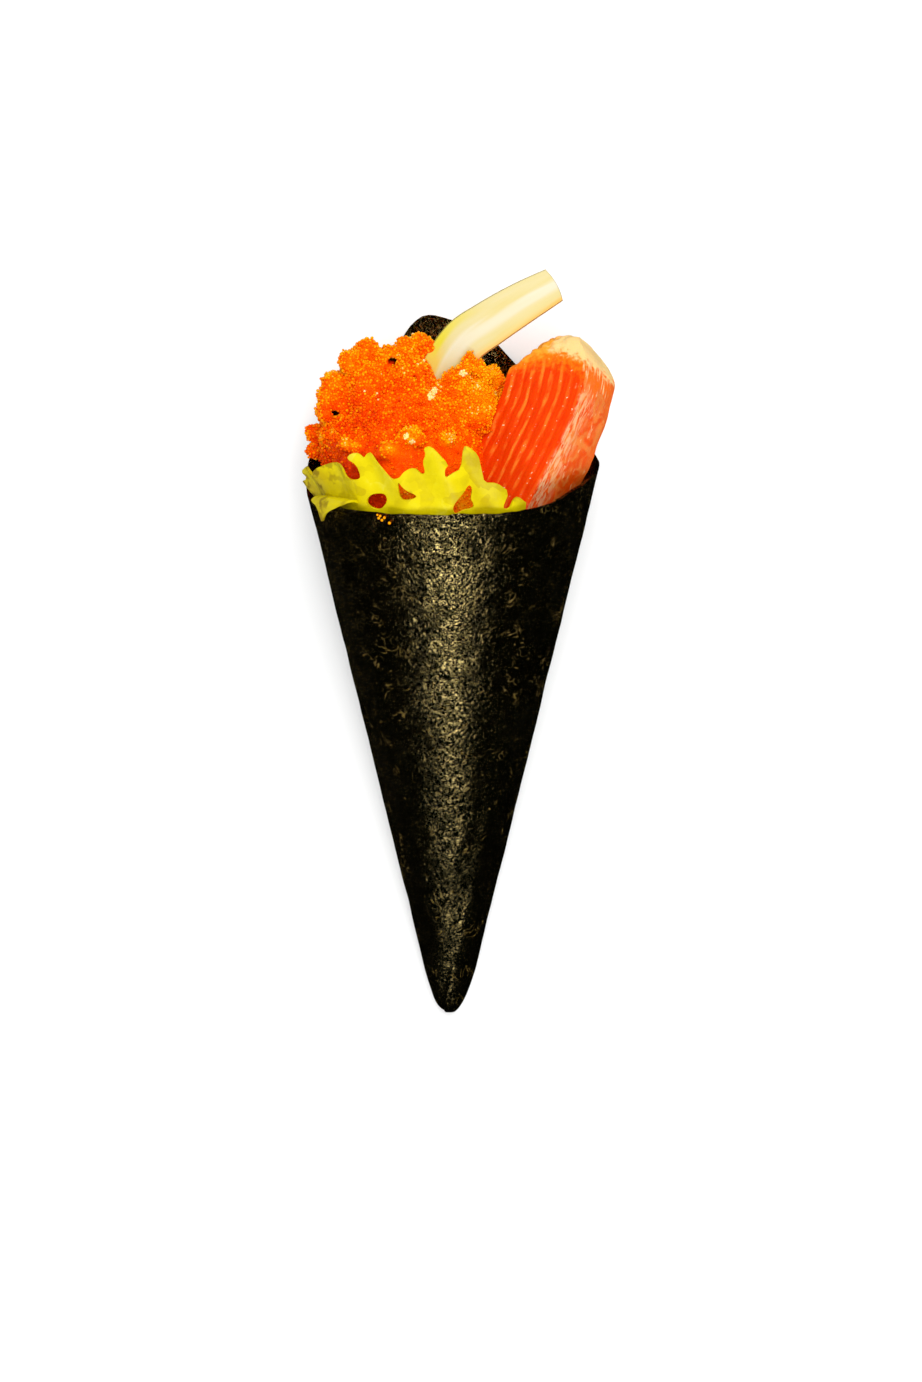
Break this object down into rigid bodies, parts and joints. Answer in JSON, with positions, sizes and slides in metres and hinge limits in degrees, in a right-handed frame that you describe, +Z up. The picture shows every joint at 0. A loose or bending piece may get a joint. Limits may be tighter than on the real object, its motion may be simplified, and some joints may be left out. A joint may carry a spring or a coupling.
{
  "type": "temaki hand roll",
  "caption": "Cone of dried seaweed filled with flying-fish roe, a salmon slab, an avocado strip and a frilled lettuce leaf, lying on its back.",
  "frame": {"origin": "on the floor, in the middle of the flat strip on the cone's back that the roll rests on, 70 mm from the closed tip", "axes": "+Y along the roll from the closed tip to the open mouth, +X to the side where the salmon is, +Z up from the floor to the shown side"},
  "size_m": [0.0626, 0.1486, 0.0587],
  "materials": {
    "nori": "crisp dried seaweed, near black, with a glossy grain",
    "roe": "wet orange fish eggs",
    "salmon": "raw salmon, orange-red with pale fat",
    "avocado": "cream flesh with a yellow edge",
    "lettuce": "crisp yellow-green leaf"
  },
  "bodies": {
    "root": {"nori_cone": "nori", "roe_heap": "roe", "salmon_slab": "salmon", "avocado_strip": "avocado", "lettuce_leaf": "lettuce"}
  },
  "joints": []
}
